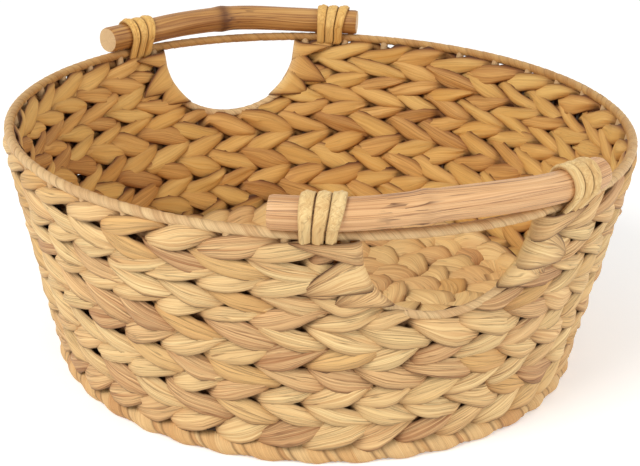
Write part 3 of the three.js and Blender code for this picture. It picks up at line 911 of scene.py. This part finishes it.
rim_plan, (seed,) = plan("rim_wrap", ("Seed",))
mesh, share, round_share, swell = wound(rim_plan, RIM_WRAP_TURNS, seed)
turn = round_share * FULL_TURN
thickness = swell * (rim_wrap_radius * RIM_WRAP_FULLNESS)
# Painted shade on the side of the rim wrap that faces into the basket.
mesh = marked(rim_plan, mesh, "inside", turn.sin() * -0.5 + 0.5)
radius = rim_radius + thickness * turn.sin()
height = rim_height + thickness * turn.cos()
rim_tube = tube_about_axis(rim_plan, mesh, share * FULL_TURN, radius, height)
stub_mesh, share, round_share = sheet_of_points(rim_plan, 2, STUB_SIDES + 1)
fibre_place = point_of(rim_plan, round_share, share * WRAP_FIBRES, 0.0)
stub_mesh = marked(rim_plan, stub_mesh, "strand", fibre_place)
stub_mesh = marked(rim_plan, stub_mesh, "tone", STUB_TONE, "FACE")
# Painted shade over each stub, which sits in the slot under the rim.
stub_mesh = marked(rim_plan, stub_mesh, "painted_shade", STUB_DARKNESS)
stub = tube_about_axis(rim_plan, stub_mesh, round_share * FULL_TURN, STUB_RADIUS, share * -STUB_LENGTH)
line = rim_plan.nodes.new("GeometryNodeMeshLine")
line.inputs["Count"].default_value = 2 * STUBS_PER_SIDE
number = Measure(rim_plan.nodes.new("GeometryNodeInputIndex").outputs[0])
beyond = number > STUBS_PER_SIDE - 0.5
angle = (number + FIRST_STUB + beyond * (UPRIGHTS / 2 - STUBS_PER_SIDE)) * (FULL_TURN / UPRIGHTS)
spread = rim_plan.nodes.new("GeometryNodeSetPosition")
feed(spread.inputs["Geometry"], line.outputs[0])
place = point_of(rim_plan, angle.sin() * rim_radius, angle.cos() * -rim_radius, rim_height)
feed(spread.inputs["Position"], place)
stubs = rim_plan.nodes.new("GeometryNodeInstanceOnPoints")
feed(stubs.inputs["Points"], spread.outputs[0])
feed(stubs.inputs["Instance"], stub)
feed(stubs.inputs["Rotation"], point_of(rim_plan, math.atan(wall_slope), 0.0, angle))
finished(rim_plan, [rim_tube, stubs.outputs[0]], wound_strip)
wrap = made("rim_wrap_strip", rim_plan, {"Seed": 8})
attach(wrap, "root")
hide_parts("rim_wrap")

# Foot ring: a bundle of stalks bound with broad strip, which bulges between the narrow ties that hold
# it to the uprights. It is pressed flat where it stands.
FOOT_STEPS_PER_SPAN = 16
FOOT_SIDES = 18
FOOT_WAIST = 0.84
FOOT_BULGE = 0.42
FOOT_RIPPLE = 0.03
FOOT_RIPPLES = 30
FOOT_FIBRES = 22
FOOT_FIBRE_LENGTHS = 1.4
FOOT_TIE_WIDTH = 0.125
FOOT_TIE_LIFT = 0.12
FOOT_TIE_SLANT = 0.14
TIE_LINE_THINNESS = 40
TIE_LINE_DARKNESS = 0.65
FOOT_TONES = {
    0.0: (204, 150, 100),
    0.25: (228, 180, 118),
    0.6: (238, 196, 134),
    1.0: (243, 208, 150),
}
foot_strip = strip_finish("foot_strip", FOOT_TONES, line_depth=0.5 * mm)

foot_plan, (seed,) = plan("foot_ring", ("Seed",))
foot_steps = UPRIGHTS * FOOT_STEPS_PER_SPAN
mesh, share, round_share = sheet_of_points(foot_plan, foot_steps + 1, FOOT_SIDES + 1)
span = share * UPRIGHTS
from_tie = ((span + 0.5) % 1 - 0.5).size()
tie = (1 - from_tie / FOOT_TIE_WIDTH).between(0, 1) > 0
bulge = ((from_tie * FULL_TURN).cos() * -0.5 + 0.5) ** 0.5
turn = round_share * FULL_TURN
around_x = (share * FULL_TURN).cos() * FOOT_RIPPLES
around_y = (share * FULL_TURN).sin() * FOOT_RIPPLES
ripple = noises(foot_plan, around_x, around_y, turn.cos())[0] * FOOT_RIPPLE
thickness = (FOOT_WAIST + FOOT_BULGE * bulge + tie * FOOT_TIE_LIFT + ripple) * foot_ring_radius
height = (thickness * turn.cos() + foot_height).worked("MAXIMUM", 0)
radius = foot_radius + thickness * turn.sin()
bound = (span * 2).floor() * 3 + tie
tone = chance_at(foot_plan, "2D", point_of(foot_plan, bound, seed, 0.0))
fibre_place = point_of(foot_plan, round_share * FOOT_FIBRE_LENGTHS, span * FOOT_FIBRES, 0.0)
mesh = marked(foot_plan, mesh, "strand", fibre_place)
mesh = marked(foot_plan, mesh, "tone", tone, "FACE")
# Painted shade in a thin line beside each tie, where the bulge meets it.
beside_tie = 1 - ((from_tie - FOOT_TIE_WIDTH).size() * TIE_LINE_THINNESS).between(0, 1)
mesh = marked(foot_plan, mesh, "painted_shade", beside_tie * TIE_LINE_DARKNESS)
angle = (span - turn.cos() * FOOT_TIE_SLANT) * (FULL_TURN / UPRIGHTS)
foot_tube = tube_about_axis(foot_plan, mesh, angle, radius, height)
finished(foot_plan, [foot_tube], foot_strip)
foot = made("foot_ring_binding", foot_plan, {"Seed": 4})
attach(foot, "root")
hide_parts("foot_ring")

# Floor: the same stalks twined about the spokes in rings, from the middle out to the wall, and one ring
# that lies aslant in the corner under the lowest course.
FLOOR_RINGS = 7
FLOOR_STEPS = 12
FLOOR_SIDES = 14
FLOOR_STITCH = 26 * mm
FLOOR_TWIST = 0.5
FLOOR_OVERLAP = 1.14
FLOOR_PAINTED_SHADE = 0.24
FIRST_RING_SEED = 40
CORNER_RING = {"Ring radius": 176 * mm, "Lift": 7 * mm, "Lean": math.radians(50), "Tall": 17 * mm}
low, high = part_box("floor_weave_lower")
floor_edge = high.x
floor_height = (low.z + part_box("floor_weave_upper")[1].z) / 2
floor_pitch = floor_edge / FLOOR_RINGS

RING_SIZES = ("Ring radius", "Stitches", "Twist", "Tall", "Seed", "Lift", "Lean")
ring_plan, inputs = plan("floor_ring", RING_SIZES)
ring_radius, stitches, twist, tall, seed, lifted, lean = inputs
rings = []
for phase in (0, 1):
    mesh, angle, across, out = strand(
        ring_plan, phase, 0, stitches, -NO_END, NO_END, twist, tall, 0, seed,
        stitches, FLOOR_STEPS, FLOOR_SIDES,
    )
    radius = ring_radius - across * lean.cos() - out * lean.sin()
    height = floor_height + lifted - across * lean.sin() + out * lean.cos()
    # Painted shade: the floor rings take part of the inside faces' darker, warmer painted shade.
    mesh = marked(ring_plan, mesh, "inside", FLOOR_PAINTED_SHADE, "FACE")
    rings.append(tube_about_axis(ring_plan, mesh, angle, radius, height))
finished(ring_plan, rings, woven_hyacinth)
floor_parts = []
for number in range(FLOOR_RINGS + 1):
    sizes = {
        "Ring radius": (number + 0.5) * floor_pitch,
        "Lift": 0,
        "Lean": 0,
        "Tall": floor_pitch * FLOOR_OVERLAP,
    }
    if number == FLOOR_RINGS:
        sizes.update(CORNER_RING)
    sizes["Stitches"] = max(4, 2 * round(math.pi * sizes["Ring radius"] / FLOOR_STITCH))
    sizes["Twist"] = FLOOR_TWIST if number % 2 else -FLOOR_TWIST
    sizes["Seed"] = FIRST_RING_SEED + number
    floor_parts.append(made(f"floor_ring_{number:02d}", ring_plan, sizes))


def joined(parts, name):
    """One object from several, under a new name."""
    with bpy.context.temp_override(active_object=parts[0], selected_editable_objects=parts):
        bpy.ops.object.join()
    parts[0].name = name
    parts[0].data.name = name
    return parts[0]


woven_floor = joined(floor_parts, "woven_floor")
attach(woven_floor, "root")
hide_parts("floor_weave_upper", "floor_weave_lower")

# Handle poles: peeled cane, bent to the rim's curve and arched a little between the lashings, with one
# swollen node. The ends are cut square and show the paler grain.
POLE_DIAMETER = 20 * mm
POLE_LENGTH = 225 * mm
POLE_OUTSET = 2 * mm
POLE_ARCH = 3.7 * mm
POLE_SEAT_GAP = 0.3 * mm
POLE_STEPS = 110
POLE_SIDES = 28
NODE_SWELL = 0.9 * mm
NODE_HALF_WIDTH = 5 * mm
CRACKED_REACH = 20 * mm
CANE_FIBRES = 20
CANE_RIPPLE_LENGTH = 45 * mm
CUT_STATIONS = 0.9
SLIT_THINNESS = 4
LASHING_AT = math.radians(21.97)
POLES = {
    "front": {"Node": -24 * mm, "Back": 0, "Seed": 2},
    "back": {"Node": 4 * mm, "Back": 1, "Seed": 5},
}
NODE_DARKNESS = {"front": 0.12, "back": 0.75}
CANE_TONES = {
    "front": {0.0: (150, 94, 56), 0.3: (200, 148, 98), 0.6: (224, 176, 124), 1.0: (240, 200, 150)},
    "back": {0.0: (84, 48, 22), 0.3: (150, 98, 50), 0.6: (190, 138, 76), 1.0: (220, 174, 108)},
}
CUT_END_TONES = {0.0: (170, 124, 78), 1.0: (238, 204, 150)}
GRAIN_SHADE = (104, 56, 30)
HAIR_SHADE = (128, 78, 46)
NODE_SHADE = (110, 62, 36)
SLIT_SHADE = (86, 48, 28)

pole_radius = POLE_DIAMETER / 2
pole_seat = math.sqrt((rim_wrap_radius + POLE_SEAT_GAP + pole_radius) ** 2 - POLE_OUTSET ** 2)
pole_ring = rim_radius + POLE_OUTSET


def pole_height(angle):
    """Height of a pole's middle line at an angle from its own middle, as a measure."""
    part = (angle.size() / LASHING_AT).between(0, 1)
    return rim_height + pole_seat + POLE_ARCH * (1 - part ** 2) ** 2


def cane_finish(name, tones, node_darkness):
    """Peeled cane: long dark grain lines, a cracked node and pale cut ends."""
    material, tree, shader = finish_with(name, roughness=0.48, specular=0.4)
    along, across = place_on_strip(tree)
    height, streak, crease = fibres(tree, along * 0.4, across * 0.7, 4.0)
    coarse = noises(tree, along * 0.4, across * 0.35, 9.0, 0.0, 3.0)[0]
    tone = (streak * 0.55 + coarse * 0.25 + 0.26).between(0, 1)
    colour = ramp_of(tree, tone, tones)
    colour = mixed(tree, crease * 0.8, colour, painted(*GRAIN_SHADE))
    hair = fibres(tree, along * 0.5, across * 1.3, 21.0)[2]
    colour = mixed(tree, hair * 0.6, colour, painted(*HAIR_SHADE))
    ring = stored(tree, "node")
    ring_share = ring * node_darkness * (0.6 + streak * 0.6)
    colour = mixed(tree, ring_share, colour, painted(*NODE_SHADE), "MULTIPLY")
    slit = thin_line(noises(tree, along * 0.6, across * 1.1, 31.0)[0], SLIT_THINNESS)
    open_part = (noises(tree, along * 2.6, across * 0.9, 37.0)[0] * 8 + 1).between(0, 1)
    crack = slit * open_part * stored(tree, "cracked")
    colour = mixed(tree, crack * 0.85, colour, painted(*SLIT_SHADE))
    grain = noises(tree, along * 40, across * 12, 2.0, 0.0, 2.0)[0]
    end_colour = ramp_of(tree, (grain * 0.3 + 0.6).between(0, 1), CUT_END_TONES)
    colour = mixed(tree, stored(tree, "cut"), colour, end_colour)
    feed(shader.inputs["Base Color"], colour)
    bump(tree, shader, height + ring * streak * 1.5, strength=0.4, depth=0.5 * mm)
    return material


cane_plan, (back_place, node_at, seed) = plan("handle_pole", ("Back", "Node", "Seed"))
mesh, share, round_share = sheet_of_points(cane_plan, POLE_STEPS + 1, POLE_SIDES + 1)
station = share * POLE_STEPS
from_end = station.worked("MINIMUM", POLE_STEPS - station).between(0, 2)
closing = 1 - (1 - from_end / 2) ** 4
along = (((station - 1) / (POLE_STEPS - 2)).between(0, 1) - 0.5) * POLE_LENGTH
angle = along / rim_radius
turn = round_share * FULL_TURN
swell = (((along - node_at) / NODE_HALF_WIDTH) ** 2 * -1).worked("EXPONENT")
uneven = noises(cane_plan, along / CANE_RIPPLE_LENGTH, turn.cos() * 0.9, turn.sin() * 0.9, seed)[0]
thickness = (pole_radius + uneven * 0.35 * mm + swell * NODE_SWELL) * closing
height = pole_height(angle) + thickness * turn.sin()
radius = thickness * turn.cos() + pole_ring
fibre_place = point_of(cane_plan, along / FIBRE_SPAN, round_share * CANE_FIBRES, 0.0)
mesh = marked(cane_plan, mesh, "strand", fibre_place)
mesh = marked(cane_plan, mesh, "node", swell, "POINT")
beside_node = 1 - ((along - node_at) / CRACKED_REACH + 0.5).size()
mesh = marked(cane_plan, mesh, "cracked", (beside_node * 2).between(0, 1), "POINT")
mesh = marked(cane_plan, mesh, "cut", from_end < CUT_STATIONS, "FACE")
cane_tube = tube_about_axis(cane_plan, mesh, angle + back_place * math.pi, radius, height)
finished(cane_plan, [cane_tube], woven_hyacinth)
for place_name, sizes in POLES.items():
    node = f"handle_pole_{place_name}"
    pole = made(f"{node}_cane", cane_plan, sizes)
    pole.data.materials.clear()
    finish = cane_finish(f"cane_{place_name}", CANE_TONES[place_name], NODE_DARKNESS[place_name])
    pole.data.materials.append(finish)
    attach(pole, "root")
    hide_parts(node)

# Lashings: flat cords wound three times round pole and rim at each end of a handle and drawn tight.
# Their turns fan out over the pole and draw together under the rim, and the back ones have painted light:
# brighter, more golden tones.
LASHING_WIDTH = 7.4 * mm
LASHING_THICKNESS = 3.2 * mm
LASHING_TURNS = 3
LASHING_PITCH = 7.9 * mm
LASHING_FAN = 0.14
LASHING_STEPS_PER_TURN = 48
LASHING_SIDES = 28
LASHING_GAP = 0.3 * mm
LASHING_WEAR = 0.04
LASHING_CRUMPLE = 0.35
CORD_FIBRES = 3
CORD_FIBRE_LENGTHS = 6
CORD_END_TAPER = 16
CORD_EDGE_LINE = 8
CORD_EDGE_DARKNESS = 0.5
BACK_RIGHT_SHIFT = 6 * mm
CORD_TONES = {
    0.0: (196, 150, 92),
    0.3: (226, 186, 122),
    0.7: (238, 208, 148),
    1.0: (244, 222, 170),
}
# Painted light: the back cords are the same cord as the front ones, in brighter and more golden tones.
BACK_CORD_LIT_TONES = {
    0.0: (186, 128, 58),
    0.3: (224, 172, 92),
    0.7: (240, 194, 112),
    1.0: (246, 208, 132),
}
flat_cord = strip_finish("flat_cord", CORD_TONES, line_depth=0.3 * mm)
lit_golden_cord = strip_finish("lit_golden_cord", BACK_CORD_LIT_TONES, line_depth=0.3 * mm)

lashing_plan, (middle_angle, back_place, seed) = plan("lashing", ("Middle angle", "Back", "Seed"))
lashing_steps = LASHING_TURNS * LASHING_STEPS_PER_TURN
mesh, share, round_share = sheet_of_points(lashing_plan, lashing_steps + 1, LASHING_SIDES + 1)
winding = share * (FULL_TURN * LASHING_TURNS) + (1 - back_place) * math.pi
fan = 1 + winding.sin() * LASHING_FAN
slip = (share - 0.5) * (LASHING_TURNS * LASHING_PITCH) * fan
angle = middle_angle + slip / rim_radius
turn = round_share * FULL_TURN
wear, stray, crumple = noises(lashing_plan, share * 6, turn.cos() * 3, turn.sin() * 0.6, seed)
reach_out = LASHING_GAP + LASHING_THICKNESS / 2
pole_middle = pole_height(angle)
toward = winding.cos()
upward_part = winding.sin()
on_pole = toward * pole_ring + pole_middle * upward_part + (pole_radius + reach_out)
on_rim = toward * rim_radius + upward_part * rim_height + (rim_wrap_radius + reach_out)
choice = on_pole > on_rim
round_radius = rim_wrap_radius + reach_out + choice * (pole_radius - rim_wrap_radius)
centre_radius = rim_radius + choice * POLE_OUTSET
centre_height = rim_height + choice * (pole_middle - rim_height)
ends = ((0.5 - (share - 0.5).size()) * CORD_END_TAPER).between(0, 1) ** 0.5
wide = turn.cos() * (LASHING_WIDTH / 2) * ends * fan * (1 + wear * LASHING_WEAR)
proud = turn.sin() * (LASHING_THICKNESS / 2) * ends * (1 + crumple * LASHING_CRUMPLE) + round_radius
radius = centre_radius + proud * toward
height = centre_height + proud * upward_part
angle = angle + (wide + stray * 0.25 * mm) / rim_radius
fibre_across = round_share * CORD_FIBRES + share * CORD_FIBRES
fibre_place = point_of(lashing_plan, share * CORD_FIBRE_LENGTHS, fibre_across, 0.0)
mesh = marked(lashing_plan, mesh, "strand", fibre_place)
# Painted light: the back cords' tone is raised.
tone = noises(lashing_plan, share * 5, seed, 0.0)[0] * 0.25 + 0.55 + back_place * 0.25
mesh = marked(lashing_plan, mesh, "tone", tone, "POINT")
# Painted shade in a line along each cord's edges.
mesh = marked(lashing_plan, mesh, "painted_shade", turn.cos().size() ** CORD_EDGE_LINE * CORD_EDGE_DARKNESS)
cord_tube = tube_about_axis(lashing_plan, mesh, angle + back_place * math.pi, radius, height)
finished(lashing_plan, [cord_tube], flat_cord)
LASHINGS = {
    "lashing_front_left": {"Middle angle": -LASHING_AT, "Back": 0, "Seed": 1},
    "lashing_front_right": {"Middle angle": LASHING_AT, "Back": 0, "Seed": 2},
    "lashing_back_left": {"Middle angle": LASHING_AT, "Back": 1, "Seed": 3},
    "lashing_back_right": {
        "Middle angle": -LASHING_AT - BACK_RIGHT_SHIFT / rim_radius, "Back": 1, "Seed": 4,
    },
}
for node, sizes in LASHINGS.items():
    cord = made(f"{node}_cord", lashing_plan, sizes)
    if sizes["Back"]:
        cord.data.materials.clear()
        cord.data.materials.append(lit_golden_cord)
    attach(cord, "root")
    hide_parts(node)

# Wires: the welded frame and the floor's spokes keep the shape of the solids. They are of dark steel
# wire with a little rust, and show only in the slots.
WIRE_METALLIC = 0.3
RUST_SPOT = 6 * mm
WIRE_TONES = {0.0: (62, 52, 46), 0.6: (92, 76, 64), 1.0: (128, 96, 70)}
wire_steel, tree, shader = finish_with("dark_wire", roughness=0.5)
shader.inputs["Metallic"].default_value = WIRE_METALLIC
coordinates = tree.nodes.new("ShaderNodeTexCoord")
split = tree.nodes.new("ShaderNodeSeparateXYZ")
feed(split.inputs[0], coordinates.outputs["Object"])
spots = noises(tree, *[Measure(outlet) / RUST_SPOT for outlet in split.outputs], 0.0, 3.0)[0]
rust = ramp_of(tree, (spots * 0.5 + 0.45).between(0, 1), WIRE_TONES)
feed(shader.inputs["Base Color"], rust)
bump(tree, shader, spots, strength=0.2, depth=0.2 * mm)
for node in ("wire_frame", "floor_frame"):
    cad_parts[node].data.materials.clear()
    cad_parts[node].data.materials.append(wire_steel)
